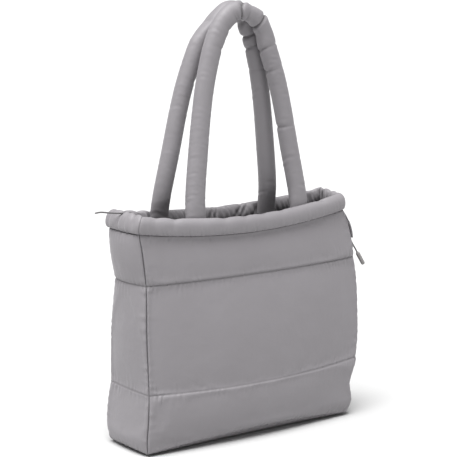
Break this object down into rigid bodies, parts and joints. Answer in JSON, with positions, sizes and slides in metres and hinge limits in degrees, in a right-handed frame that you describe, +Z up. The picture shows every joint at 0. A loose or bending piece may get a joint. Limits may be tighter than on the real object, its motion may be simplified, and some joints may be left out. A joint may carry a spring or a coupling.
{
  "type": "puffer tote bag",
  "caption": "Open-topped quilted puffer tote with stuffed rim, two long stuffed shoulder handles and short drawcord ends.",
  "frame": {"origin": "middle of the footprint, on the surface that the bag stands on", "axes": "+Z up, +X to the bag's right along its width, -Y out of the front panel"},
  "size_m": [0.5057, 0.1598, 0.689],
  "materials": {
    "puffer_nylon": "soft satin padded nylon, warm grey",
    "drawcord": "thin braided cord, dark grey",
    "cord_end": "satin moulded plastic, grey"
  },
  "bodies": {
    "root": {"base_panel": "puffer_nylon", "front_panel": "puffer_nylon", "front_rim": "puffer_nylon", "back_panel": "puffer_nylon", "back_rim": "puffer_nylon", "left_gusset": "puffer_nylon", "left_rim": "puffer_nylon", "right_gusset": "puffer_nylon", "right_rim": "puffer_nylon", "front_handle": "puffer_nylon", "back_handle": "puffer_nylon", "cord_tab": "puffer_nylon", "left_cord": "drawcord", "right_cord": "drawcord", "cord_end": "cord_end"}
  },
  "joints": []
}
